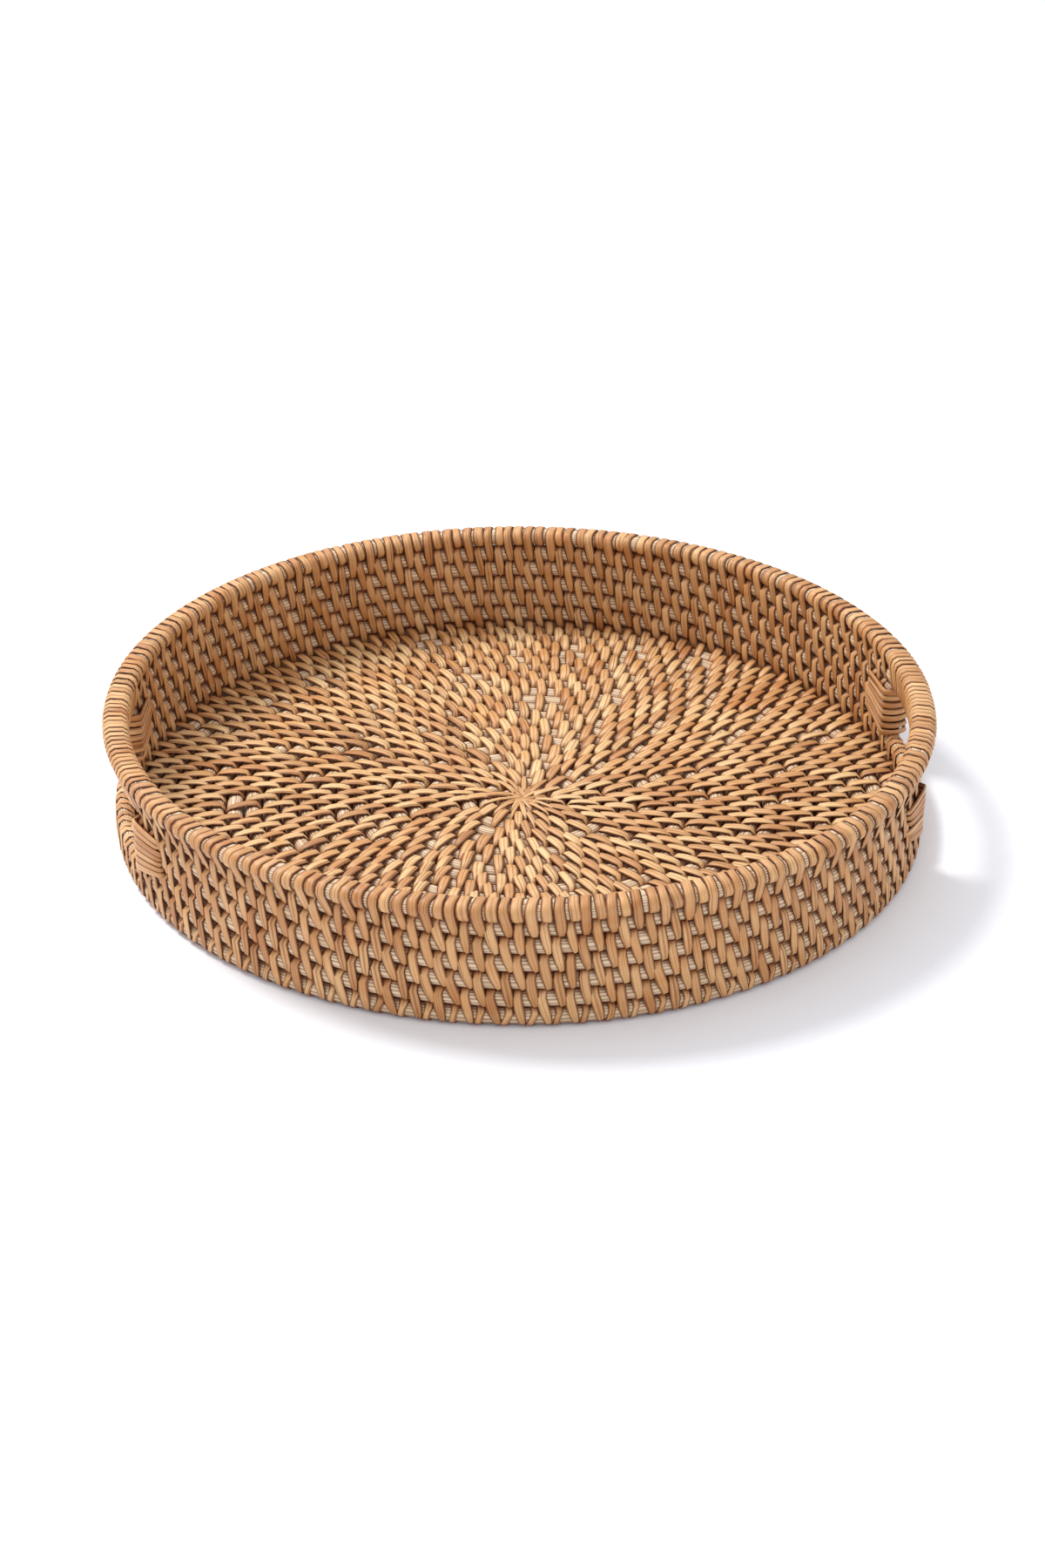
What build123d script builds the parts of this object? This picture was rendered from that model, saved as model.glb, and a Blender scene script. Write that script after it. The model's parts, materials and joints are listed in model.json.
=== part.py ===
"""Round coiled tray of rattan core, lashed with split cane, with two hand slots under its rim.

Frame: +Z up, origin on the ground plane under the middle of the tray. Angles run counter-clockwise
from +X seen from above. Every course of core is a ring, and every lashing is a group of separate
strips, each a closed loop round two neighbouring courses. All sizes are in millimetres.
"""
from build123d import *
import os
from math import degrees, exp, pi, radians

# ------------------------------------------------------------------ driving dimensions
outer_diameter = 380.0      # across the lashed rim
base_core_diameter = 6.4    # round core of the base turns
wall_core_diameter = 7.0    # slightly thicker core of the wall courses
strip_width = 4.4           # split cane strip
strip_thickness = 0.8
base_pitch = 8.28           # from one turn of the flat base to the next
wall_pitch = 8.5            # from one wall course up to the next
wall_radius = 182.6         # centreline of every wall course, from the foot to the grip
base_turns = 21             # turns of core inside the foot course
base_centre_shift = (1.5, -5.0)     # the coil starts a little off the middle of the tray

rim_width = 10.6            # flat-oval core of the rim
rim_height = 7.2
rim_gap = 1.9               # room for two strips between the top course and the rim

wall_stitches = 108         # stitches round one wall course
base_stitch_spacing = 10.6  # along a base turn
crowding = 8                # extra stitches in the innermost turns, fading outwards
crowding_reach = 26.0       # over this radius
sector_turn = 137.5         # degrees between the places where one turn and the next lose stitches
turns_per_node = 4          # base turns whose stitches are kept together as one part
grip_wrap_count = 25        # close wraps over each hand slot

slot_angles = {"right": (-17.0, 12.5), "left": (176.0, 207.0)}
edge_strip_width = 3.9      # strips that bind the cut ends of the courses
edge_strip_count = 6
edge_leg_length = 23.0      # how far a binding strip reaches along the wall

# ------------------------------------------------------------------ derived sizes
base_core_radius = base_core_diameter / 2
wall_core_radius = wall_core_diameter / 2
base_z = base_core_radius + strip_thickness
foot_z = wall_core_radius + strip_thickness
wall_half_thickness = wall_core_radius + strip_thickness
wall_z = [foot_z + wall_pitch * i for i in range(6)]
foot, sill, lower_cut, middle_cut, upper_cut, grip = range(6)
rim_radius = outer_diameter / 2 - strip_thickness - rim_width / 2
rim_z = wall_z[grip] + wall_core_radius + rim_gap + rim_height / 2
stitch_step = 360 / wall_stitches
fit_gap = 0.02              # between a strip's inner face and the core it lies on
side_by_side = 0.48         # widest strip, as a share of the gap between two in one family
close_fit = 0.97            # width of a close wrap, as a share of its spacing
slot_margin = 0.75          # stitches keep this many strip widths clear of a slot's ends
edge_clearance = 0.2
knot_clearance = 0.1
knot_rounding = 1.6


# ------------------------------------------------------------------ small helpers
def save(node, solids):
    """Write one node, a single solid or a group of separate solids."""
    shape = solids[0] if len(solids) == 1 else Compound(children=solids)
    shape.label = node
    export_step(shape, f"parts/{node}.step")


def ring(radius, z, core, centre=(0.0, 0.0)):
    return Pos(centre[0], centre[1], z) * Solid.make_torus(radius, core)


def arc_rod(radius, z, start, end):
    """Round wall core along an arc from one angle to another, cut square at both ends."""
    section = Plane.XZ * Pos(radius, z) * Circle(wall_core_radius)
    return Rot(Z=start) * revolve(section, Axis.Z, end - start).solid()


def tight_outline(cores, grow):
    """Outline pulled tight round round cores, each (x, z, radius), grown by the same amount."""
    edges = []
    for x, z, radius in cores:
        edges += (Pos(x, z) * Circle(radius + grow)).edges()
    return make_hull(edges) if len(cores) > 1 else Pos(cores[0][0], cores[0][1]) * Circle(
        cores[0][2] + grow)


def strip(outer, inner, width):
    """A closed loop of strip between two outlines in the XZ plane."""
    return extrude(Plane.XZ * (outer - inner), width / 2, both=True).solid()


def loop(cores, width):
    """A strip wound round some round cores."""
    return strip(tight_outline(cores, strip_thickness), tight_outline(cores, fit_gap), width)


def rim_outline(grow):
    """Outline of the flat-oval rim core, grown by an amount."""
    return Pos(rim_radius, rim_z) * SlotOverall(rim_width + 2 * grow, rim_height + 2 * grow)


def rim_and_grip_outline(grow):
    """Outline round the rim and the top course together, each grown by the same amount."""
    grip_core = Pos(wall_radius, wall_z[grip]) * Circle(wall_core_radius + grow)
    return make_hull(rim_outline(grow).edges() + grip_core.edges())


def spin(shape, angles, centre=(0.0, 0.0)):
    """Copies of a shape at the given angles about a vertical axis."""
    return [Pos(centre[0], centre[1]) * Rot(Z=angle) * shape for angle in angles]


def in_slot(angle, margin=0.0):
    """True where an angle lies over one of the two hand slots."""
    for start, end in slot_angles.values():
        if (angle - start + margin) % 360 < end - start + 2 * margin:
            return True
    return False


# ------------------------------------------------------------------ base
def turn_radius(turn):
    """Centreline radius of a base turn, counted inwards from the foot course."""
    return wall_radius - base_pitch * turn


def turn_centre(turn):
    share = turn / (base_turns + 1)
    return base_centre_shift[0] * share, base_centre_shift[1] * share


def gaps(angles):
    """Angle from each stitch to the next one round."""
    return [(after - angle) % 360 for angle, after in zip(angles, angles[1:] + angles[:1])]


def midway(angles):
    return [angle + gap / 2 for angle, gap in zip(angles, gaps(angles))]


def thinned(angles, count, first_sector):
    """Leave out the most crowded stitch of each of some equal sectors, so that count are left."""
    surplus = len(angles) - count
    room = [(angles[(i + 2) % len(angles)] - angles[i - 2]) % 360 for i in range(len(angles))]
    dropped = set()
    for number in range(surplus):
        inside = [i for i, angle in enumerate(angles)
                  if int((angle - first_sector) % 360 * surplus / 360) == number]
        dropped.add(min(inside, key=lambda i: room[i]))
    return [angle for i, angle in enumerate(angles) if i not in dropped]


def stitch_count(radius):
    """Stitches round a base turn: evenly spaced, but more crowded near the middle."""
    crowd = crowding * exp(-radius / crowding_reach)
    return round(2 * pi * radius / base_stitch_spacing + crowd)


def base_stitch_angles():
    """Stitch angles of each pair of base turns, each family midway between those outside it."""
    families = [[stitch_step * (i + 0.5) for i in range(wall_stitches)]]
    for turn in range(1, base_turns):
        between = midway(families[-1])
        count = min(stitch_count(turn_radius(turn + 0.5)), len(between))
        families.append(thinned(between, count, sector_turn * turn))
    return families


def strip_width_within(angles, inner_edge):
    """The full strip width, or less where stitches of two families crowd one core."""
    return min(strip_width, side_by_side * radians(min(gaps(angles))) * inner_edge)


def base_lashing(turn, angles):
    """Strips that tie base turn number turn + 1 to the turn outside it."""
    inner_edge = turn_radius(turn + 1) - base_core_radius - strip_thickness
    inner = (turn_radius(turn + 1), base_z, base_core_radius)
    outer = (turn_radius(turn), base_z, base_core_radius)
    if turn == 0:
        outer = (wall_radius, wall_z[foot], wall_core_radius)
    tie = loop([inner, outer], strip_width_within(angles, inner_edge))
    return spin(tie, angles, turn_centre(turn + 0.5))


def build_start(last_family):
    """The knot of core in the middle, and narrow strips between the stitches of the first turn."""
    centre = turn_centre(base_turns)
    inner_edge = turn_radius(base_turns) - base_core_radius - strip_thickness
    knot = Cylinder(inner_edge - knot_clearance, 2 * base_core_radius)
    knot = fillet(knot.edges().filter_by(GeomType.CIRCLE), knot_rounding)
    save("base_start_knot", [(Pos(centre[0], centre[1], base_z) * knot).solid()])

    first_turn = loop([(turn_radius(base_turns), base_z, base_core_radius)],
                      strip_width_within(last_family, inner_edge))
    save("base_start_wraps", spin(first_turn, midway(last_family), turn_centre(base_turns - 0.5)))


def build_base():
    for turn in range(1, base_turns + 1):
        coil = ring(turn_radius(turn), base_z, base_core_radius, turn_centre(turn))
        save(f"base_coil_{turn:02d}", [coil])

    families = base_stitch_angles()
    build_start(families[-1])
    save("foot_lashing", base_lashing(0, families[0]))
    for first in range(1, base_turns, turns_per_node):
        group = []
        for turn in range(first, min(first + turns_per_node, base_turns)):
            group += base_lashing(turn, families[turn])
        save(f"base_lashing_{first // turns_per_node + 1}", group)


# ------------------------------------------------------------------ wall
def build_wall_courses():
    names = {foot: "foot_course", sill: "sill_course", grip: "grip_course"}
    for course, name in names.items():
        save(name, [ring(wall_radius, wall_z[course], wall_core_radius)])

    right_start, right_end = slot_angles["right"]
    left_start, left_end = slot_angles["left"]
    cut_names = {lower_cut: "lower", middle_cut: "middle", upper_cut: "upper"}
    for course, name in cut_names.items():
        z = wall_z[course]
        save(f"back_course_{name}", [arc_rod(wall_radius, z, right_end, left_start)])
        save(f"front_course_{name}", [arc_rod(wall_radius, z, left_end, right_start + 360)])

    rim = Plane.XZ * Pos(rim_radius, rim_z) * SlotOverall(rim_width, rim_height)
    save("rim_core", [revolve(rim, Axis.Z, 360).solid()])


def wall_stitch(lower):
    """A strip round a wall course and the one above it."""
    return loop([(wall_radius, wall_z[c], wall_core_radius) for c in (lower, lower + 1)],
                strip_width)


def build_wall_lashings():
    names = ["foot_to_sill", "sill_to_lower", "lower_to_middle", "middle_to_upper", "upper_to_grip"]
    edge_margin = degrees(slot_margin * strip_width / wall_radius)
    for course, name in enumerate(names):
        phase = 0.5 * (course % 2 == 1)
        angles = [stitch_step * (i + phase) for i in range(wall_stitches)]
        if course != foot:
            angles = [a for a in angles if not in_slot(a, edge_margin)]
        save(f"lashing_{name}", spin(wall_stitch(course), angles))


def rim_tie(width=strip_width):
    """A long strip that ties the rim to the top wall course."""
    return strip(rim_and_grip_outline(strip_thickness), rim_and_grip_outline(fit_gap), width)


def build_rim_lashings():
    long_angles = [stitch_step * (i + 0.5) for i in range(wall_stitches)]
    long_angles = [a for a in long_angles if not in_slot(a)]
    save("rim_lashing", spin(rim_tie(), long_angles))
    short_angles = [stitch_step * i for i in range(wall_stitches)]
    short_angles = [a for a in short_angles if not in_slot(a)]
    short_wrap = strip(rim_outline(strip_thickness), rim_outline(fit_gap), strip_width)
    save("rim_short_wraps", spin(short_wrap, short_angles))


# ------------------------------------------------------------------ hand slots
def build_slot_wraps(side, start, end):
    """Close wraps on the bar above a slot, and single wraps on the sill below it."""
    step = (end - start) / grip_wrap_count
    width = close_fit * radians(step) * rim_radius
    grip_angles = [start + step * (i + 0.5) for i in range(grip_wrap_count)]
    save(f"grip_wraps_{side}", spin(rim_tie(width), grip_angles))

    between = [stitch_step * (i + 0.5) for i in range(-wall_stitches, wall_stitches)]
    sill_angles = [a for a in between if start < a < end]
    wrap = loop([(wall_radius, wall_z[sill], wall_core_radius)], strip_width)
    save(f"sill_wraps_{side}", spin(wrap, sill_angles))


def edge_strip(z):
    """One U-shaped strip round the cut end of the wall, its closed end at angle 0."""
    reach = degrees(edge_leg_length / wall_radius)
    end_angle = degrees(strip_thickness / wall_radius)
    inside, outside = wall_radius - wall_half_thickness, wall_radius + wall_half_thickness

    def sector(low, high, start, end):
        face = Plane.XZ * Pos((low + high) / 2, z) * Rectangle(high - low, edge_strip_width)
        return Rot(Z=start) * revolve(face, Axis.Z, end - start)

    inner_leg = sector(inside - strip_thickness, inside, -end_angle, reach)
    outer_leg = sector(outside, outside + strip_thickness, -end_angle, reach)
    end_face = sector(inside, outside, -end_angle, 0)
    return (inner_leg + end_face + outer_leg).solid()


def build_slot_edges():
    """Bindings on the four slot edges, each a stack of U-shaped strips."""
    inset = wall_half_thickness + edge_strip_width / 2 + edge_clearance
    low, high = wall_z[sill] + inset, wall_z[grip] - inset
    spacing = (high - low) / (edge_strip_count - 1)
    heights = [low + spacing * i for i in range(edge_strip_count)]
    strips = [edge_strip(z) for z in heights]
    turned = [mirror(bent, Plane.XZ) for bent in strips]
    for side, (start, end) in slot_angles.items():
        ends = {"high_angle": (end, strips), "low_angle": (start, turned)}
        if side == "right":
            names = {"high_angle": "right_back", "low_angle": "right_front"}
        else:
            names = {"high_angle": "left_front", "low_angle": "left_back"}
        for key, (angle, stack) in ends.items():
            save(f"slot_edge_{names[key]}", [(Rot(Z=angle) * bent).solid() for bent in stack])


# ------------------------------------------------------------------ whole tray
os.makedirs("parts", exist_ok=True)
build_base()
build_wall_courses()
build_wall_lashings()
build_rim_lashings()
for slot_side, (slot_start, slot_end) in slot_angles.items():
    build_slot_wraps(slot_side, slot_start, slot_end)
build_slot_edges()
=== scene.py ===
"""Round coiled tray of rattan core lashed with split cane, laid out as a Blender add-on.

Each course of core is a ribbed rod, and each lashing is a run of cane strips set out by one
Geometry Nodes tree. Every piece stands in the place of the plain node that it is named after.
"""
import json
import random
from math import atan2, ceil, copysign, cos, exp, hypot, pi, radians, sin, tau

import bpy
from bpy.props import FloatProperty, FloatVectorProperty, IntProperty, PointerProperty
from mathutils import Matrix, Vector

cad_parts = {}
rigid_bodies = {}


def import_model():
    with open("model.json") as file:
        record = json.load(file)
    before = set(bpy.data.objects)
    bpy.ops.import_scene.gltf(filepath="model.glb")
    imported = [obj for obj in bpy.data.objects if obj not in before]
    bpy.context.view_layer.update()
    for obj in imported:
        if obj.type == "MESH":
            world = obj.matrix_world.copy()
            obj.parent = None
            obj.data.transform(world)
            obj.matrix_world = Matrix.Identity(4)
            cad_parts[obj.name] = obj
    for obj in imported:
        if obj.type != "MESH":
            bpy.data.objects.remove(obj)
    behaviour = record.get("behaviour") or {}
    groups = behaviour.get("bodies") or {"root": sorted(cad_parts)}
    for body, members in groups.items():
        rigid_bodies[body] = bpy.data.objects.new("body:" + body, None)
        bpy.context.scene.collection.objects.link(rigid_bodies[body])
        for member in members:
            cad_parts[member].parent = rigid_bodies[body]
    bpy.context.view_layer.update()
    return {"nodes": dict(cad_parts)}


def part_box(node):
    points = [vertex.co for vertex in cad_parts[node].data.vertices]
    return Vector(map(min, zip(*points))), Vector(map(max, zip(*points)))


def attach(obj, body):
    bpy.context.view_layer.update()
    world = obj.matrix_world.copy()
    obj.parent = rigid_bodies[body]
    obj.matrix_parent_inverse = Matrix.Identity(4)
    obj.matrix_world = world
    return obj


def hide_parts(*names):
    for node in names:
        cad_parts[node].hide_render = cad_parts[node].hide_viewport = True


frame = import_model()

bl_info = {
    "name": "Lashed Rattan Tray",
    "version": (1, 0, 0),
    "blender": (4, 5, 0),
    "location": "View3D > Sidebar > Rattan Tray",
    "description": "Builds a coiled rattan tray, its cane lashing and a plain studio",
    "category": "Add Mesh",
}

MM = 0.001
ROOT_BODY = "root"
CORE_SLOT = "rattan_core"
CANE_SLOT = "split_cane"
BASE_TURNS = sum(1 for name in frame["nodes"] if name.startswith("base_coil_"))
BASE_GROUPS = sum(1 for name in frame["nodes"] if name.startswith("base_lashing_"))
TURNS_PER_GROUP = ceil((BASE_TURNS - 1) / BASE_GROUPS)
SLOTS = {"right": ("right_start", "right_end"), "left": ("left_start", "left_end")}

ROD_STEP = 5 * MM               # between the cross-sections of a rod of core
GROOVE_DEPTH = 0.15 * MM        # between two ridges of a core
RIM_HALF_WIDTH = 5.3 * MM
LONGEST_SIDE = 4.4 * MM         # of the straight sides of a wound strip
STITCH_FILL = 0.66              # share of the room along a base turn that a stitch covers
WIDEST_STITCH = 1.1             # of the base, against a usual one
START_FILL = 0.62               # the same share for the strips round the start of the coil
GRIP_WIDTH = 0.82               # of a close wrap over a hand slot, against a rim strip
SECTOR_TURN = radians(137.5)    # from one base turn to the next, for where stitches are left out
EDGE_WIDTH = 3.3 * MM           # of a strip that binds a slot's edge
EDGE_BULK = 1.3                 # its thickness, against a usual strip's
EDGE_CORNER = 1.5 * MM          # how much it rounds off the cut ends of the wall
# Outlines of a strip: (share of its width, share of its thickness) round its cross-section.
STRIP_OUTLINE = ((-0.5, 0.5), (-0.22, 1.0), (0.22, 1.0), (0.5, 0.5), (0.0, 0.0))
EDGE_OUTLINE = ((-0.5, 0.5), (-0.2, 1.0), (0.2, 1.0), (0.5, 0.5), (0.46, 0.0), (-0.46, 0.0))
# Orders of a face's corners that make it point outwards: on a strip, a mirrored strip, a rod.
FORWARDS, BACKWARDS, ON_A_ROD = (0, 1, 2, 3), (3, 2, 1, 0), (0, 3, 2, 1)
WHITE = (1, 1, 1)


# ---------------------------------------------------------------- settings
class TraySizes(bpy.types.PropertyGroup):
    """Sizes of the strips and the weave."""

    strip_width: FloatProperty(
        name="Strip width", description="Width of a cane strip",
        default=4.5 * MM, unit="LENGTH")
    strip_thickness: FloatProperty(
        name="Strip thickness", description="Thickness of a cane strip",
        default=0.8 * MM, unit="LENGTH")
    wall_stitches: IntProperty(
        name="Wall stitches", description="Stitches round one wall course", default=108, min=12)
    base_spacing: FloatProperty(
        name="Base stitch spacing", description="Distance between stitches along a base turn",
        default=10.6 * MM, unit="LENGTH")
    crowding: FloatProperty(
        name="Crowding", description="Extra stitches in the innermost turns of the base",
        default=8.0)
    crowding_reach: FloatProperty(
        name="Crowding reach", description="Radius over which the crowding fades",
        default=26 * MM, unit="LENGTH")
    base_spread: FloatProperty(
        name="Base core, extra width", description="How much wider than tall a base core is",
        default=1.15 * MM, unit="LENGTH")
    wall_rise: FloatProperty(
        name="Wall core, extra height", description="How much taller than wide a wall core is",
        default=0.95 * MM, unit="LENGTH")
    grip_wraps: IntProperty(
        name="Grip wraps", description="Close wraps over each hand slot", default=25, min=4)
    edge_strips: IntProperty(
        name="Edge strips", description="Strips that bind one edge of a hand slot",
        default=7, min=2)
    edge_reach: FloatProperty(
        name="Edge reach", description="How far a binding strip reaches along the wall",
        default=23 * MM, unit="LENGTH")
    fan: FloatProperty(
        name="Edge fan", description="How far the far ends of the binding strips draw together",
        default=0.26)
    rib_count: IntProperty(
        name="Core ribs", description="Fine ridges round one rod of core", default=17, min=5)
    lean: FloatProperty(
        name="Stitch lean", description="How far a stitch leans away from square to its course",
        default=radians(8), unit="ROTATION")
    wall_lean: FloatProperty(
        name="Wall stitch lean", description="The same, for the stitches of the wall",
        default=radians(12.5), unit="ROTATION")
    right_start: FloatProperty(
        name="Right slot start", description="Front edge of the right hand slot",
        default=radians(-17), unit="ROTATION")
    right_end: FloatProperty(
        name="Right slot end", description="Back edge of the right hand slot",
        default=radians(12.5), unit="ROTATION")
    left_start: FloatProperty(
        name="Left slot start", description="Back edge of the left hand slot",
        default=radians(176), unit="ROTATION")
    left_end: FloatProperty(
        name="Left slot end", description="Front edge of the left hand slot",
        default=radians(207), unit="ROTATION")


class TrayColours(bpy.types.PropertyGroup):
    """Colours of the core, the cane and the studio."""

    core_pale: FloatVectorProperty(
        name="Core, pale", description="Light fibres of the core", subtype="COLOR", size=3,
        default=(0.72, 0.545, 0.37))
    core_dark: FloatVectorProperty(
        name="Core, dark", description="Dark pores and grooves of the core", subtype="COLOR",
        size=3, default=(0.44, 0.29, 0.17))
    cane_pale: FloatVectorProperty(
        name="Cane, pale", description="Lightest strips of cane", subtype="COLOR", size=3,
        default=(0.80, 0.54, 0.27))
    cane_warm: FloatVectorProperty(
        name="Cane, warm", description="Usual strips of cane", subtype="COLOR", size=3,
        default=(0.67, 0.38, 0.165))
    cane_deep: FloatVectorProperty(
        name="Cane, deep", description="Darkest strips of cane", subtype="COLOR", size=3,
        default=(0.46, 0.20, 0.06))
    studio: FloatVectorProperty(
        name="Studio", description="Floor of the studio", subtype="COLOR", size=3,
        default=(0.90, 0.915, 0.96))


def sizes():
    return bpy.context.scene.tray_sizes


def colours():
    return bpy.context.scene.tray_colours


# ---------------------------------------------------------------- places taken from the frame
def core_radius(node):
    low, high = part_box(node)
    return (high[2] - low[2]) / 2


def ring_of(node):
    """Centre and centreline radius of a closed ring of core."""
    low, high = Vector(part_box(node)[0]), Vector(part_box(node)[1])
    middle = (low + high) / 2
    return middle, (high.x - low.x) / 2 - core_radius(node)


def height_of(node):
    low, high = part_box(node)
    return (low[2] + high[2]) / 2


def wall_courses():
    """(height, radius) of the six wall courses, from the foot up."""
    names = ["foot_course", "sill_course", "back_course_lower", "back_course_middle",
             "back_course_upper", "grip_course"]
    low, high = height_of("foot_course"), height_of("grip_course")
    foot_r, grip_r = ring_of("foot_course")[1], ring_of("grip_course")[1]
    heights = [height_of(name) for name in names]
    return [(z, foot_r + (grip_r - foot_r) * (z - low) / (high - low)) for z in heights]


def wall_bar(along, out=0.0, stands_up=False):
    """A wall course as a bar for a strip to go round, long along X, or along Z if it stands."""
    r, extra = core_radius("foot_course"), sizes().wall_rise / 2
    if stands_up:
        return along, out + extra, 0, extra, r
    return along + extra, out, extra, 0, r


def rim_section():
    """Height, centreline radius, half width and half height of the rim core."""
    low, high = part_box("rim_core")
    half_height = (high[2] - low[2]) / 2
    return height_of("rim_core"), high[0] - RIM_HALF_WIDTH, RIM_HALF_WIDTH, half_height


def slot_angles(side):
    start, end = SLOTS[side]
    return getattr(sizes(), start), getattr(sizes(), end)


def in_slot(angle, margin=0.0):
    for side in SLOTS:
        start, end = slot_angles(side)
        if (angle - start + margin) % tau < end - start + 2 * margin:
            return True
    return False


# ---------------------------------------------------------------- nodes and materials
def feed(tree, value, socket):
    """Link an output to a socket, or set the socket's own number."""
    if isinstance(value, bpy.types.NodeSocket):
        tree.links.new(value, socket)
    else:
        socket.default_value = value


def add_node(tree, kind, **values):
    """A node with its properties and its named inputs set."""
    node = tree.nodes.new(kind)
    for key, value in values.items():
        if hasattr(node, key):
            setattr(node, key, value)
        else:
            feed(tree, value, node.inputs[key.replace("_", " ")])
    return node


def calculate(tree, operation, *values):
    node = add_node(tree, "ShaderNodeMath", operation=operation)
    for value, socket in zip(values, node.inputs):
        feed(tree, value, socket)
    return node.outputs[0]


def new_material(name):
    material = bpy.data.materials.new(name)
    material.use_nodes = True
    return material, material.node_tree, material.node_tree.nodes["Principled BSDF"].inputs


def ramp(tree, source, *stops):
    """The colour that a value picks from stops of (place, colour)."""
    node = add_node(tree, "ShaderNodeValToRGB", Fac=source)
    elements = node.color_ramp.elements
    while len(elements) < len(stops):
        elements.new(0.5)
    for element, (place, colour) in zip(elements, stops):
        element.position = place
        element.color = (*colour, 1)
    return node.outputs["Color"]


def multiplied(tree, amount, first, second):
    """The first colour, multiplied by the second as far as the amount says."""
    mix = add_node(tree, "ShaderNodeMix", data_type="RGBA", blend_type="MULTIPLY")
    for value, socket in ((amount, 0), (first, 6), (second, 7)):
        feed(tree, value, mix.inputs[socket])
    return mix.outputs[2]


def along_piece(tree):
    """Metres along a strip or a rod in U, and round it in V."""
    return add_node(tree, "ShaderNodeUVMap", uv_map="along").outputs["UV"]


def grain(tree, stretch, detail):
    """Noise drawn out along U, the length of a strip or a rod."""
    drawn = add_node(tree, "ShaderNodeMapping", Vector=along_piece(tree), Scale=(*stretch, 1))
    return add_node(tree, "ShaderNodeTexNoise", Vector=drawn.outputs["Vector"], Scale=1.0,
                    Detail=detail, Roughness=0.6).outputs["Fac"]


def mottle(tree, scale, detail):
    """Soft patches fixed to the object."""
    place = add_node(tree, "ShaderNodeTexCoord").outputs["Object"]
    return add_node(tree, "ShaderNodeTexNoise", Vector=place, Scale=scale, Detail=detail,
                    Roughness=0.55).outputs["Fac"]


# The tone attribute: each strip's own tone, drawn at random; on a core, 1 on a ridge and 0 in a
# groove, for painted shade in the grooves.
def tone_and_groove_shade_of(tree):
    return add_node(tree, "ShaderNodeAttribute", attribute_name="tone").outputs["Fac"]


def bumped(tree, height, strength, distance):
    return add_node(tree, "ShaderNodeBump", Height=height, Strength=strength, Distance=distance)


def spread_over(tree, source, **ends):
    """The value, moved from one pair of ends to another: From Min and Max, To Min and Max."""
    return add_node(tree, "ShaderNodeMapRange", Value=source, **ends).outputs["Result"]


def with_painted_hollow_shade(tree, colour):
    """The colour with painted shade: browner and darker where strips and cores lie close together,
    as an ambient occlusion node finds.
    """
    hollow = add_node(tree, "ShaderNodeAmbientOcclusion", samples=6, Distance=0.004)
    shade = ramp(tree, hollow.outputs["AO"], (0.20, (0.40, 0.13, 0.02)), (0.80, WHITE))
    return multiplied(tree, 0.88, colour, shade)


def cane_material():
    """Split cane: a smooth skin with lengthwise lines, each strip of its own tone."""
    material, tree, shader = new_material("cane_skin")
    tones = colours()
    colour = ramp(tree, tone_and_groove_shade_of(tree), (0.0, tones.cane_deep), (0.45, tones.cane_warm),
                  (1.0, tones.cane_pale))
    fibres = grain(tree, (45, 4200), 4)
    colour = multiplied(tree, 0.6, colour, ramp(
        tree, fibres, (0.30, (0.52, 0.42, 0.34)), (0.50, WHITE), (0.75, (1, 0.98, 0.94))))
    lines = grain(tree, (6, 1150), 1)
    colour = multiplied(tree, 0.9, colour, ramp(
        tree, lines, (0.36, (0.42, 0.28, 0.17)), (0.47, WHITE), (0.7, (1.0, 1.0, 0.98))))
    across = add_node(tree, "ShaderNodeSeparateXYZ", Vector=along_piece(tree)).outputs["Y"]
    edge = spread_over(tree, calculate(tree, "ABSOLUTE", across), From_Min=1.55 * MM,
                       From_Max=2.3 * MM)
    colour = multiplied(tree, 0.8, colour, ramp(
        tree, edge, (0.0, WHITE), (1.0, (0.42, 0.22, 0.08))))
    colour = multiplied(tree, 0.6, colour, ramp(
        tree, mottle(tree, 62, 4), (0.34, (0.80, 0.55, 0.26)), (0.56, WHITE)))
    # Painted shade in the hollows where strips and cores lie close together.
    feed(tree, with_painted_hollow_shade(tree, colour), shader["Base Color"])
    feed(tree, spread_over(tree, fibres, To_Min=0.40, To_Max=0.66), shader["Roughness"])
    shader["Coat Weight"].default_value = 0.10
    shader["Coat Roughness"].default_value = 0.35
    bumps = bumped(tree, lines, 0.7, 0.3 * MM)
    feed(tree, bumped(tree, fibres, 0.5, 0.12 * MM).outputs[0], bumps.inputs["Normal"])
    feed(tree, bumps.outputs[0], shader["Normal"])
    return material


def core_material():
    """Rattan core: pale, dry and finely grooved along its length."""
    material, tree, shader = new_material("rattan_pith")
    tones = colours()
    pores = grain(tree, (22, 2100), 5)
    brightest = tuple(min(1, 1.12 * c) for c in tones.core_pale)
    colour = ramp(tree, pores, (0.28, tones.core_dark), (0.48, tones.core_pale), (0.78, brightest))
    colour = multiplied(tree, 0.45, colour, ramp(
        tree, mottle(tree, 70, 4), (0.34, (0.74, 0.62, 0.48)), (0.56, WHITE)))
    # Painted shade in the core's grooves: the tone, 0 in a groove and 1 on a ridge, darkens the
    # grooves against the ridges.
    colour = multiplied(tree, 0.85, colour, ramp(
        tree, tone_and_groove_shade_of(tree), (0.05, (0.36, 0.24, 0.15)), (0.6, WHITE)))
    # Painted shade in the hollows where cores and strips lie close together.
    feed(tree, with_painted_hollow_shade(tree, colour), shader["Base Color"])
    feed(tree, spread_over(tree, pores, To_Min=0.62, To_Max=0.85), shader["Roughness"])
    feed(tree, bumped(tree, pores, 0.45, 0.15 * MM).outputs[0], shader["Normal"])
    return material


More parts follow.
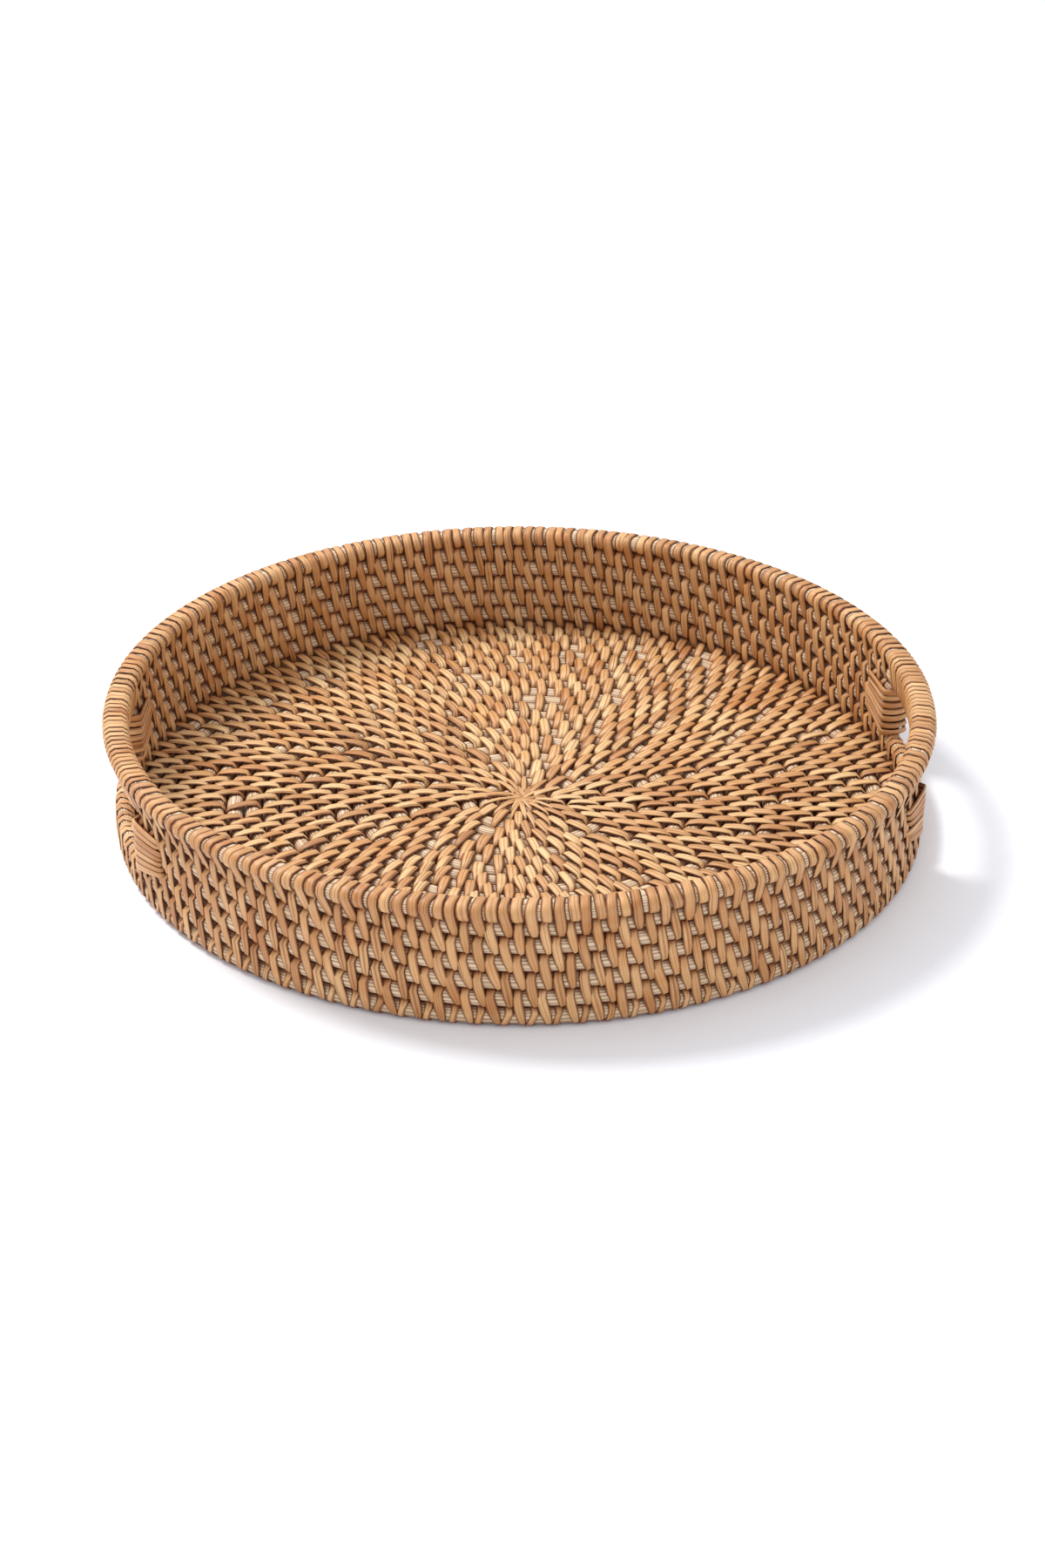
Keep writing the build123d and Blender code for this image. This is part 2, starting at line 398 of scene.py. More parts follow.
def studio_material():
    """Smooth pale paper."""
    material, tree, shader = new_material("studio_paper")
    tone = colours().studio
    tooth = ramp(tree, mottle(tree, 40, 3), (0.35, tuple(0.99 * c for c in tone)), (0.65, tone))
    feed(tree, tooth, shader["Base Color"])
    shader["Roughness"].default_value = 0.7
    return material


def shared(make, name):
    """The material of that name, made on first use."""
    return bpy.data.materials.get(name) or make()


# ---------------------------------------------------------------- mesh helpers
def mesh_object(name, points, faces, uvs=None, tones=None, material=None):
    mesh = bpy.data.meshes.new(name)
    mesh.from_pydata(points, [], faces)
    if uvs:
        layer = mesh.uv_layers.new(name="along")
        flat = [value for face in uvs for uv in face for value in uv]
        layer.data.foreach_set("uv", flat)
    if tones:
        mesh.attributes.new("tone", "FLOAT", "POINT").data.foreach_set("value", tones)
    mesh.shade_smooth()
    if material:
        mesh.materials.append(material)
    obj = bpy.data.objects.new(name, mesh)
    bpy.context.scene.collection.objects.link(obj)
    return obj


def settle(obj, slot, *nodes):
    """Ride on the tray's body and stand for the plain nodes."""
    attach(obj, ROOT_BODY)
    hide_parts(*nodes)


def core_piece(name, parts, *nodes):
    """An object made of core that stands for the plain nodes."""
    material = shared(core_material, "rattan_pith")
    settle(mesh_object(name, *parts, material), CORE_SLOT, *nodes)


def skin(first, rings, marks, rows, order=FORWARDS):
    """Faces and UVs between rings of points: marks hold the ends of each span in U, rows in V."""
    sides, faces, uvs = len(rows), [], []
    for i, (start, end) in enumerate(marks):
        here, there = first + i * sides, first + (i + 1) % rings * sides
        for j, (low, high) in enumerate(rows):
            following = (j + 1) % sides
            corners = (here + j, here + following, there + following, there + j)
            around = ((start, low), (start, high), (end, high), (end, low))
            faces.append(tuple(corners[c] for c in order))
            uvs.append(tuple(around[c] for c in order))
    return faces, uvs


def rows_of(outline, width):
    """Where each side of a strip's outline starts and ends across the strip."""
    return [(here[0] * width, there[0] * width)
            for here, there in zip(outline, outline[1:] + outline[:1])]


def wobble(rng, size):
    """A smooth closed waver round the tray: a few sine waves of whole periods."""
    waves = [(k, rng.uniform(0.3, 1.0) / k, rng.uniform(0, tau)) for k in (2, 3, 5, 9, 14)]
    return lambda angle: size * sum(a * sin(k * angle + p) for k, a, p in waves)


def lay_rod(parts, centre, radius, section, rng, start=0.0, end=tau):
    """Add a ribbed rod along a circle: section gives (across, up, tone) points round the rod; the
    tone, 1 on a ridge and 0 in a groove, sets where painted shade darkens the grooves.
    """
    points, faces, uvs, tones = parts
    closed = end - start > tau - 1e-6
    count = max(24, ceil((end - start) * radius / ROD_STEP))
    stations = count if closed else count + 1
    sway, rise = wobble(rng, 0.10 * MM), wobble(rng, 0.07 * MM)
    first, sides, shift = len(points), len(section), rng.random()
    for i in range(stations):
        angle = start + (end - start) * i / count
        for across, up, tone in section:
            r = radius + across + sway(angle)
            points.append((centre[0] + r * cos(angle), centre[1] + r * sin(angle),
                           centre[2] + up + rise(angle)))
            tones.append(tone)
    girth = tau * max(up for _, up, _ in section)
    along = [(start + (end - start) * i / count) * radius + shift for i in range(count + 1)]
    rows = [(girth * j / sides, girth * (j + 1) / sides) for j in range(sides)]
    skinned = skin(first, stations, zip(along, along[1:]), rows, ON_A_ROD)
    faces += skinned[0]
    uvs += skinned[1]
    if not closed:
        for ring_start, order in ((first, 1), (first + count * sides, -1)):
            faces.append(tuple(ring_start + j for j in range(sides))[::order])
            uvs.append(tuple((section[j][0], section[j][1]) for j in range(sides))[::order])


def ribbed_section(half_width, half_height, ribs, rng, lift=0.0):
    """A round or flat-oval outline with fine ridges, clockwise as the rod is laid."""
    outline = []
    r = min(half_width, half_height)
    turn = rng.uniform(0, tau)
    for i in range(2 * ribs):
        angle = turn - tau * (i + rng.uniform(-0.25, 0.25)) / (2 * ribs)
        ridge = i % 2 == 0
        reach = r - (0 if ridge else GROOVE_DEPTH * rng.uniform(0.6, 1.4))
        across = copysign(half_width - r, cos(angle)) + reach * cos(angle)
        up = copysign(half_height - r, sin(angle)) + reach * sin(angle)
        # Tone 1 on a ridge and 0 in a groove, which the core's material turns into painted shade
        # in the grooves.
        outline.append((across, lift + up, 1.0 if ridge else 0.0))
    return outline


# ---------------------------------------------------------------- strip templates
def support(shape, angle):
    """Outermost point of a rounded bar in a direction: (along, out, half along, half out, r)."""
    a, n, half_a, half_n, r = shape
    ca, cn = cos(angle), sin(angle)
    return a + copysign(half_a, ca) + r * ca, n + copysign(half_n, cn) + r * cn


def wrap_path(shapes, directions):
    """Closed path pulled tight round some rounded bars, as (along, out, normal, normal)."""
    path = []
    for i in range(directions):
        angle = tau * (i + 0.5) / directions
        best = max(shapes, key=lambda s: support(s, angle)[0] * cos(angle)
                   + support(s, angle)[1] * sin(angle))
        path.append((*support(best, angle), cos(angle), sin(angle)))
    filled = []
    for here, there in zip(path, path[1:] + path[:1]):
        filled.append(here)
        gap = hypot(there[0] - here[0], there[1] - here[1])
        pieces = ceil(gap / LONGEST_SIDE)
        for k in range(1, pieces):
            share = k / pieces
            mixed = [h + (t - h) * share for h, t in zip(here, there)]
            size = hypot(mixed[2], mixed[3])
            filled.append((mixed[0], mixed[1], mixed[2] / size, mixed[3] / size))
    return filled


def strip_template(name, shapes, rng, width, lean, taper=(0.8, 0.8), arches=(0.0, 0.0),
                   directions=8):
    """One strip wound round some bars: X along the wrap's long way, Y its width, Z outwards.

    The taper gives the width at the low and high end of X; the arches lift the middle of the
    strip off its bars on the +Z and the -Z side.
    """
    thickness = sizes().strip_thickness
    path = wrap_path(shapes, directions)
    reach = max(abs(p[0]) for p in path)
    bow = rng.uniform(-0.35, 0.35) * MM
    swell = rng.uniform(0.94, 1.06)
    narrowing = [1 - end * rng.uniform(0.92, 1.08) for end in taper]
    low = min(p[0] for p in path)
    middle = (max(p[0] for p in path) + low) / 2
    reach -= abs(middle)
    slope = sin(lean) * rng.uniform(0.6, 1.4)
    points, travelled, marks = [], 0.0, []
    previous = path[-1]
    for a, n, na, nn in path:
        travelled += hypot(a - previous[0], n - previous[1])
        previous = (a, n)
        marks.append(travelled)
        share = (a - middle) / reach
        side = copysign(abs(nn) ** 0.6, nn)
        drift = slope * (a - middle) * side + bow * (1 - share * share) * side
        wide = width * swell * (1 - narrowing[share > 0] * abs(share) ** 3)
        n += arches[nn < 0] * (1 - share * share) * nn
        for across, out in STRIP_OUTLINE:
            lift = out * thickness
            points.append((a + na * lift, drift + across * wide, n + nn * lift))
    offset = rng.random()
    starts = [mark + offset for mark in marks] + [marks[-1] + offset + marks[0]]
    return mesh_object(name, points, *skin(0, len(path), zip(starts, starts[1:]),
                                           rows_of(STRIP_OUTLINE, width)))


def edge_template(name, rng, radius, half_thickness, hand):
    """A U-shaped strip round the cut end of the wall, its closed end at angle 0."""
    s = sizes()
    width, thickness = EDGE_WIDTH * rng.uniform(0.94, 1.06), EDGE_BULK * s.strip_thickness
    reach = s.edge_reach * rng.uniform(0.9, 1.05)
    rise = rng.uniform(-0.7, 0.7) * MM
    # Where the strip runs beside the wall, then how it bends round the cut end.
    stops = [(reach, -1.7 * MM), (reach - 1.6 * MM, -0.1 * MM), (reach - 4 * MM, 0.2 * MM)]
    stops += [(reach * share, (1 - share) * 1.6 * MM) for share in (0.6, 0.38, 0.16)]
    outer = [(along, half_thickness + lift) for along, lift in stops]
    outer += [(0.2 * MM, half_thickness + 1.3 * MM), (-0.9 * MM, half_thickness - EDGE_CORNER)]
    path = outer + [(-1.3 * MM, 0.0)] + [(along, -out) for along, out in reversed(outer)]
    points, travelled, marks = [], 0.0, []
    for i, (along, out) in enumerate(path):
        ahead, behind = path[min(i + 1, len(path) - 1)], path[max(i - 1, 0)]
        run, climb = ahead[0] - behind[0], ahead[1] - behind[1]
        size = hypot(run, climb)
        normal = (climb / size, -run / size)
        travelled += hypot(along - behind[0], out - behind[1])
        marks.append(travelled)
        share = max(0, along / reach)
        tilt = rise * share * share * (1 if i < len(path) / 2 else -1)
        narrowed = 1 - 0.35 * share ** 2
        for across, lift in EDGE_OUTLINE:
            r = radius + out + normal[1] * lift * thickness
            angle = hand * (along + normal[0] * lift * thickness) / radius
            points.append((r * cos(angle), r * sin(angle), tilt + across * width * narrowed))
    sides = len(EDGE_OUTLINE)
    offset = rng.random()
    starts = [mark + offset for mark in marks]
    faces, uvs = skin(0, len(path), zip(starts, starts[1:]), rows_of(EDGE_OUTLINE, width),
                      FORWARDS if hand > 0 else BACKWARDS)
    for first, order in ((0, -1), ((len(path) - 1) * sides, 1)):
        cap = tuple(first + j for j in range(sides))[::order * hand]
        faces.append(cap)
        uvs.append(tuple((offset, 0.0) for _ in cap))
    return mesh_object(name, points, faces, uvs)


def template_set(name, build, count=5):
    """A collection of a few versions of one strip."""
    collection = bpy.data.collections.new(name)
    for i in range(count):
        obj = build(f"{name}_{i}", random.Random(f"{name}{i}"))
        bpy.context.scene.collection.objects.unlink(obj)
        collection.objects.link(obj)
    return collection


def clear_templates(collection):
    for obj in list(collection.objects):
        bpy.data.objects.remove(obj, do_unlink=True)
    bpy.data.collections.remove(collection)


# ---------------------------------------------------------------- the tree that sets out strips
def wrap_tree():
    """Geometry Nodes tree: one strip on each point, turned and stretched as the point says."""
    tree = bpy.data.node_groups.get("Set out strips")
    if tree:
        return tree
    tree = bpy.data.node_groups.new("Set out strips", "GeometryNodeTree")
    socket = tree.interface.new_socket
    socket("Points", in_out="INPUT", socket_type="NodeSocketGeometry")
    socket("Strips", in_out="INPUT", socket_type="NodeSocketCollection")
    for label in ("Lean Spread", "Width Spread", "Tone Low", "Tone High"):
        socket(label, in_out="INPUT", socket_type="NodeSocketFloat")
    socket("Seed", in_out="INPUT", socket_type="NodeSocketInt")
    socket("Finish", in_out="INPUT", socket_type="NodeSocketMaterial")
    socket("Strips laid", in_out="OUTPUT", socket_type="NodeSocketGeometry")
    given = tree.nodes.new("NodeGroupInput").outputs

    def random_value(low, high, seed_step, kind="FLOAT"):
        node = add_node(tree, "FunctionNodeRandomValue", data_type=kind,
                        Seed=calculate(tree, "ADD", given["Seed"], seed_step))
        ports = [p for p in node.inputs if p.enabled and p.name in ("Min", "Max")]
        for port, value in zip(ports, (low, high)):
            feed(tree, value, port)
        return next(p for p in node.outputs if p.enabled)

    def vector(name):
        return add_node(tree, "GeometryNodeInputNamedAttribute", data_type="FLOAT_VECTOR",
                        Name=name).outputs["Attribute"]

    def combined(x, y, z):
        return add_node(tree, "ShaderNodeCombineXYZ", X=x, Y=y, Z=z).outputs[0]

    def rotation_of(angles):
        return add_node(tree, "FunctionNodeEulerToRotation", Euler=angles).outputs[0]

    most = given["Lean Spread"]
    lean = random_value(calculate(tree, "MULTIPLY", most, -1), most, 1)
    rotation = add_node(tree, "FunctionNodeRotateRotation", rotation_space="LOCAL",
                        Rotation=rotation_of(vector("turns")),
                        Rotate_By=rotation_of(combined(0, 0, lean)))
    width = random_value(calculate(tree, "SUBTRACT", 1, given["Width Spread"]),
                         calculate(tree, "ADD", 1, given["Width Spread"]), 2)
    scale = add_node(tree, "ShaderNodeVectorMath", operation="MULTIPLY")
    feed(tree, vector("stretch"), scale.inputs[0])
    feed(tree, combined(1, width, 1), scale.inputs[1])

    strips = add_node(tree, "GeometryNodeCollectionInfo", Collection=given["Strips"],
                      Separate_Children=True, Reset_Children=True)
    lay = add_node(tree, "GeometryNodeInstanceOnPoints", Points=given["Points"],
                   Instance=strips.outputs[0], Pick_Instance=True,
                   Instance_Index=random_value(0, 99, 3, "INT"),
                   Rotation=rotation.outputs[0], Scale=scale.outputs[0])
    tone = add_node(tree, "GeometryNodeStoreNamedAttribute", data_type="FLOAT",
                    domain="INSTANCE", Geometry=lay.outputs[0], Name="tone")
    value_port = next(p for p in tone.inputs if p.name == "Value" and p.enabled)
    feed(tree, random_value(given["Tone Low"], given["Tone High"], 4), value_port)
    solid = add_node(tree, "GeometryNodeRealizeInstances", Geometry=tone.outputs[0])
    finish = add_node(tree, "GeometryNodeSetMaterial", Geometry=solid.outputs[0],
                      Material=given["Finish"])
    feed(tree, finish.outputs[0], tree.nodes.new("NodeGroupOutput").inputs[0])
    return tree


def lash(node, strips, places, tones=(0.2, 0.8), lean_spread=4, width_spread=0.08):
    """Lay strips at places, each (position, turns about X Y Z, stretch), for a plain node."""
    obj = mesh_object(f"{node}_cane", [p[0] for p in places], [])
    fields = obj.data.attributes
    for index, field in ((1, "turns"), (2, "stretch")):
        values = [value for p in places for value in p[index]]
        fields.new(field, "FLOAT_VECTOR", "POINT").data.foreach_set("vector", values)

    tree = wrap_tree()
    modifier = obj.modifiers.new("Strips", "NODES")
    modifier.node_group = tree
    values = {"Strips": strips, "Lean Spread": radians(lean_spread), "Width Spread": width_spread,
              "Tone Low": tones[0], "Tone High": tones[1], "Seed": sum(map(ord, node)) * 7,
              "Finish": shared(cane_material, "cane_skin")}
    for item in tree.interface.items_tree:
        if item.in_out == "INPUT" and item.name in values:
            modifier[item.identifier] = values[item.name]
    graph = bpy.context.evaluated_depsgraph_get()
    laid = bpy.data.meshes.new_from_object(
        obj.evaluated_get(graph), preserve_all_data_layers=True, depsgraph=graph)
    obj.modifiers.clear()
    obj.data = laid
    laid.name = obj.name
    settle(obj, CANE_SLOT, node)


# ---------------------------------------------------------------- where the stitches lie
def place_at(angle, radius, height, tilt=0, width=1, centre=(0, 0)):
    """Place of a strip: its position, its turns about X, Y and Z, and its stretch."""
    spot = (centre[0] + radius * cos(angle), centre[1] + radius * sin(angle), height)
    return spot, (0, tilt, angle), (1, width, 1)


def stitch_angles(offset):
    """Angles of the stitches round a wall course, offset by a share of the way to the next."""
    count = sizes().wall_stitches
    return [tau / count * (i + offset) for i in range(count)]


def gaps(angles):
    """Angle from each stitch to the next one round."""
    return [(after - angle) % tau for angle, after in zip(angles, angles[1:] + angles[:1])]


def midway(angles):
    return [angle + gap / 2 for angle, gap in zip(angles, gaps(angles))]


def thinned(angles, count, first_sector):
    """Leave out the most crowded stitch of each of some equal sectors, so that count are left."""
    surplus = len(angles) - count
    room = [(angles[(i + 2) % len(angles)] - angles[i - 2]) % tau
            for i in range(len(angles))]
    dropped = set()
    for number in range(surplus):
        inside = [i for i, angle in enumerate(angles)
                  if int((angle - first_sector) % tau * surplus / tau) == number]
        dropped.add(min(inside, key=lambda i: room[i]))
    return [angle for i, angle in enumerate(angles) if i not in dropped]


def base_rings():
    """(centre, radius) of the foot course and each base turn, from the outside in."""
    names = ["foot_course"] + [f"base_coil_{i:02d}" for i in range(1, BASE_TURNS + 1)]
    return [ring_of(name) for name in names]


def base_families(rings):
    """Stitch angles of each pair of base turns, each family midway between those outside it."""
    s = sizes()
    families = [stitch_angles(0.5)]
    for outer, inner in zip(rings[1:], rings[2:]):
        middle = (outer[1] + inner[1]) / 2
        crowd = s.crowding * exp(-middle / s.crowding_reach)
        count = round(tau * middle / s.base_spacing + crowd)
        between = midway(families[-1])
        families.append(thinned(between, min(count, len(between)),
                                SECTOR_TURN * len(families)))
    return families


def base_places(angles, outer, inner, rng):
    """Places of the stitches between two turns of the base."""
    middle, centre = (outer[1] + inner[1]) / 2, (outer[0] + inner[0]) / 2
    room = gaps(angles)
    places = []
    for i, angle in enumerate(angles):
        a = angle + rng.uniform(-0.35, 0.35) * MM / middle
        space = inner[1] * (room[i] + room[i - 1]) / 2
        width = min(WIDEST_STITCH, STITCH_FILL * space / sizes().strip_width)
        places.append(place_at(a, middle, inner[0].z, width=width, centre=centre))
    return places


# ---------------------------------------------------------------- pieces
class TRAY_OT_coil_base(bpy.types.Operator):
    """Lay the turns of core of the flat base, and the knot they start from"""
    bl_idname = "tray.coil_base"
    bl_label = "Coil base"

    def execute(self, context):
        rng = random.Random(1)
        parts = ([], [], [], [])
        nodes = [f"base_coil_{i:02d}" for i in range(1, BASE_TURNS + 1)]
        for node in nodes:
            r = core_radius(node)
            section = ribbed_section(r + sizes().base_spread / 2, r, sizes().rib_count, rng)
            lay_rod(parts, *ring_of(node), section, rng)
        core_piece("base_coil_core", parts, *nodes)
        self.start_knot()
        return {"FINISHED"}

    def start_knot(self):
        """A tight dome of core end, wound round with its own fibres."""
        low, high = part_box("base_start_knot")
        middle = (Vector(low) + Vector(high)) / 2
        reach, half = (high[0] - low[0]) / 2, (high[2] - low[2]) / 2
        sides, levels = 26, 8
        points, tones = [], []
        for i in range(levels + 1):
            tilt = -pi / 2 + pi * i / levels
            for j in range(sides):
                # Ridges take tone 1 and grooves 0, for painted shade in the grooves.
                ridge = 1.0 if j % 2 == 0 else 0.0
                r = max(0.02 * MM, reach * cos(tilt) ** 0.6 - (1 - ridge) * GROOVE_DEPTH)
                a = tau * j / sides + 0.5 * tilt
                up = half * copysign(abs(sin(tilt)) ** 0.8, sin(tilt))
                points.append((middle.x + r * cos(a), middle.y + r * sin(a), middle.z + up))
                tones.append(ridge)
        faces, uvs = skin(
            0, levels + 1, [(i * MM, (i + 1) * MM) for i in range(levels)],
            [(reach * tau * j / sides, reach * tau * (j + 1) / sides) for j in range(sides)])
        for first, order in ((0, -1), (levels * sides, 1)):
            faces.append(tuple(first + j for j in range(sides))[::order])
            uvs.append(tuple((0.0, 0.0) for _ in range(sides)))
        core_piece("base_knot_core", (points, faces, uvs, tones), "base_start_knot")


class TRAY_OT_raise_wall(bpy.types.Operator):
    """Lay the wall courses, cut at the hand slots, and the thick rim above them"""
    bl_idname = "tray.raise_wall"
    bl_label = "Raise wall"

    def execute(self, context):
        rng = random.Random(2)
        for course, name in ((0, "foot_course"), (1, "sill_course"), (5, "grip_course")):
            self.lay_course(course, name, rng)
        right_start, right_end = slot_angles("right")
        left_start, left_end = slot_angles("left")
        spans = {"back": (right_end, left_start), "front": (left_end, right_start + tau)}
        for side, span in spans.items():
            for course, level in ((2, "lower"), (3, "middle"), (4, "upper")):
                self.lay_course(course, f"{side}_course_{level}", rng, *span)

        z, radius, half_width, half_height = rim_section()
        parts = ([], [], [], [])
        section = ribbed_section(half_width, half_height, sizes().rib_count + 3, rng)
        lay_rod(parts, (0, 0, z), radius, section, rng)
        core_piece("rim_rattan_core", parts, "rim_core")
        return {"FINISHED"}

    def lay_course(self, course, name, rng, *span):
        """One wall course, or the part of it between two angles."""
        z, radius = wall_courses()[course]
        r, extra = core_radius("foot_course"), sizes().wall_rise / 2
        parts = ([], [], [], [])
        section = ribbed_section(r, r + extra, sizes().rib_count, rng, extra)
        lay_rod(parts, (0, 0, z), radius, section, rng, *span)
        core_piece(f"{name}_core", parts, name)


class TRAY_OT_lash_base(bpy.types.Operator):
    """Lash each turn of the base to the turn outside it"""
    bl_idname = "tray.lash_base"
    bl_label = "Lash base"

    def execute(self, context):
        s = sizes()
        rings = base_rings()
        families = base_families(rings)
        rng = random.Random(11)
        half = (rings[1][1] - rings[2][1]) / 2
        r = core_radius("base_coil_01")
        inner, outer = ((place, 0, s.base_spread / 2, 0, r) for place in (-half, half))
        lift = core_radius("foot_course") - r
        foot = template_set("foot_strip", lambda name, rng: strip_template(
            name, [inner, wall_bar(half, lift, stands_up=True)], rng, s.strip_width, s.lean,
            taper=(0.95, 0.6), arches=(0.5 * MM, 0)))
        strips = template_set("base_strip", lambda name, rng: strip_template(
            name, [inner, outer], rng, 1.08 * s.strip_width, s.lean,
            taper=(0.95, 0.45), arches=(1.0 * MM, 0)), count=8)
        places = [base_places(family, *pair, rng)
                  for family, pair in zip(families, zip(rings, rings[1:]))]
        lash("foot_lashing", foot, places[0], tones=(0.1, 0.7))
        for group in range(BASE_GROUPS):
            first = 1 + group * TURNS_PER_GROUP
            laid = sum(places[first:first + TURNS_PER_GROUP], [])
            lash(f"base_lashing_{group + 1}", strips, laid, tones=(0.15, 1.0), lean_spread=5)
        clear_templates(foot)
        clear_templates(strips)
        self.lash_start(s, midway(families[-1]), rings[-1], r)
        return {"FINISHED"}

    def lash_start(self, s, angles, ring, r):
        """Narrow strips that run from the first turn in to the very middle."""
        centre, radius = ring
        reach = radius - 1.6 * MM
        width = tau * radius / len(angles) * START_FILL
        rays = template_set("start_strip", lambda name, rng: strip_template(
            name, [(-reach, 0, 0, 0, r - 0.4 * MM), (0, 0, 0, 0, r)], rng, width, s.lean,
            taper=(0.35, 0.8), arches=(0.3 * MM, 0)))
        places = [place_at(a, radius, centre.z, centre=centre) for a in angles]
        lash("base_start_wraps", rays, places, tones=(0.2, 0.9), lean_spread=3)
        clear_templates(rays)


class TRAY_OT_lash_wall(bpy.types.Operator):
    """Lash each wall course to the one above it"""
    bl_idname = "tray.lash_wall"
    bl_label = "Lash wall"

    def execute(self, context):
        s = sizes()
        courses = wall_courses()
        rise = courses[1][0] - courses[0][0]
        out = courses[1][1] - courses[0][1]
        half = hypot(rise, out) / 2
        bars = [wall_bar(-half), wall_bar(half)]
        strips = template_set("wall_strip", lambda name, rng: strip_template(
            name, bars, rng, s.strip_width, s.wall_lean,
            taper=(0.2, 0.95), arches=(0.35 * MM, 0.35 * MM)), count=8)
        names = ["foot_to_sill", "sill_to_lower", "lower_to_middle", "middle_to_upper",
                 "upper_to_grip"]
        tilt = -atan2(rise, out)
        margin = 0.75 * s.strip_width / courses[0][1]
        rng = random.Random(5)
        for course, name in enumerate(names):
            (low, low_r), (high, high_r) = courses[course], courses[course + 1]
            middle, z = (low_r + high_r) / 2, (low + high) / 2
            places = []
            for angle in stitch_angles(0.5 * (course % 2)):
                if course and in_slot(angle, margin):
                    continue
                a = angle + rng.uniform(-0.4, 0.4) * MM / middle
                places.append(place_at(a, middle, z, tilt))
            tones = (0.12, 0.5) if course else (0.0, 0.6)
            lash(f"lashing_{name}", strips, places, tones)
        clear_templates(strips)
        return {"FINISHED"}


def rim_bars():
    """The rim and the top course as bars in the strip's own axes, above the top course."""
    z, radius, half_width, half_height = rim_section()
    grip_z, grip_r = wall_courses()[5]
    rim = (z - grip_z, grip_r - radius, 0, half_width - half_height, half_height)
    return rim, wall_bar(0), grip_z, grip_r


class TRAY_OT_lash_rim(bpy.types.Operator):
    """Tie the rim to the top course, and wrap both closely over the hand slots"""
    bl_idname = "tray.lash_rim"
    bl_label = "Lash rim"

    def execute(self, context):
        s = sizes()
        rim, grip, z, radius = rim_bars()
        long_strips = template_set("rim_strip", lambda name, rng: strip_template(
            name, [rim, grip], rng, 1.1 * s.strip_width, s.lean,
            taper=(0.5, 0.95), directions=10))
        short_strips = template_set("rim_wrap", lambda name, rng: strip_template(
            name, [rim], rng, 1.12 * s.strip_width, s.lean,
            taper=(0.85, 0.95), directions=10))
        rng = random.Random(7)

        def places(angles, width=1):
            return [place_at(angle + rng.uniform(-0.3, 0.3) * MM / radius, radius, z,
                             -pi / 2, width) for angle in angles]

        for node, strips, offset, tones in (
                ("rim_lashing", long_strips, 0.5, (0.1, 0.5)),
                ("rim_short_wraps", short_strips, 0, (0.15, 0.6))):
            angles = [a for a in stitch_angles(offset) if not in_slot(a)]
            lash(node, strips, places(angles), tones)
        for side in SLOTS:
            start, end = slot_angles(side)
            gap = (end - start) / s.grip_wraps
            angles = [start + gap * (i + 0.5) for i in range(s.grip_wraps)]
            lash(f"grip_wraps_{side}", long_strips, places(angles, GRIP_WIDTH),
                 tones=(0.2, 0.65), lean_spread=2, width_spread=0.05)
        clear_templates(long_strips)
        clear_templates(short_strips)
        return {"FINISHED"}


class TRAY_OT_bind_slots(bpy.types.Operator):
    """Wrap the sill of each hand slot and bind its two edges"""
    bl_idname = "tray.bind_slots"
    bl_label = "Bind hand slots"

    def execute(self, context):
        s = sizes()
        self.wrap_sills(s)
        self.bind_edges(s)
        return {"FINISHED"}

    def wrap_sills(self, s):
        z, radius = wall_courses()[1]
        strips = template_set("sill_strip", lambda name, rng: strip_template(
            name, [wall_bar(0)], rng, s.strip_width, s.lean))
        step = tau / s.wall_stitches
        for side in SLOTS:
            start, end = slot_angles(side)
            angles = [step * (i + 0.5) for i in range(-s.wall_stitches, s.wall_stitches)]
            places = [place_at(a, radius, z, -pi / 2) for a in angles if start < a < end]
            lash(f"sill_wraps_{side}", strips, places, tones=(0.1, 0.8))
        clear_templates(strips)

    def bind_edges(self, s):
        courses = wall_courses()
        radius = courses[3][1]
        lean = (courses[5][1] - courses[0][1]) / (courses[5][0] - courses[0][0])
        half = core_radius("foot_course") + s.strip_thickness
        names = {("right", 1): "right_back", ("right", 0): "right_front",
                 ("left", 1): "left_front", ("left", 0): "left_back"}
        for (side, at_end), name in names.items():
            hand = 1 if at_end else -1
            strips = template_set(f"edge_{name}", lambda label, rng: edge_template(
                label, rng, radius, half, hand), count=4)
            low, high = (corner[2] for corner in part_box(f"slot_edge_{name}"))
            gap = (high - low) / s.edge_strips
            angle = slot_angles(side)[at_end]
            places = []
            for i in range(s.edge_strips):
                z = low + gap * (i + 0.5)
                shift = lean * (z - courses[3][0])
                place = (shift * cos(angle), shift * sin(angle), z)
                climb = s.fan * (high - z) - 1.0 * MM
                places.append((place, (hand * climb / s.edge_reach, 0, angle), (1, 1, 1)))
            lash(f"slot_edge_{name}", strips, places,
                 tones=(0.05, 0.55), lean_spread=0.4, width_spread=0.0)
            clear_templates(strips)


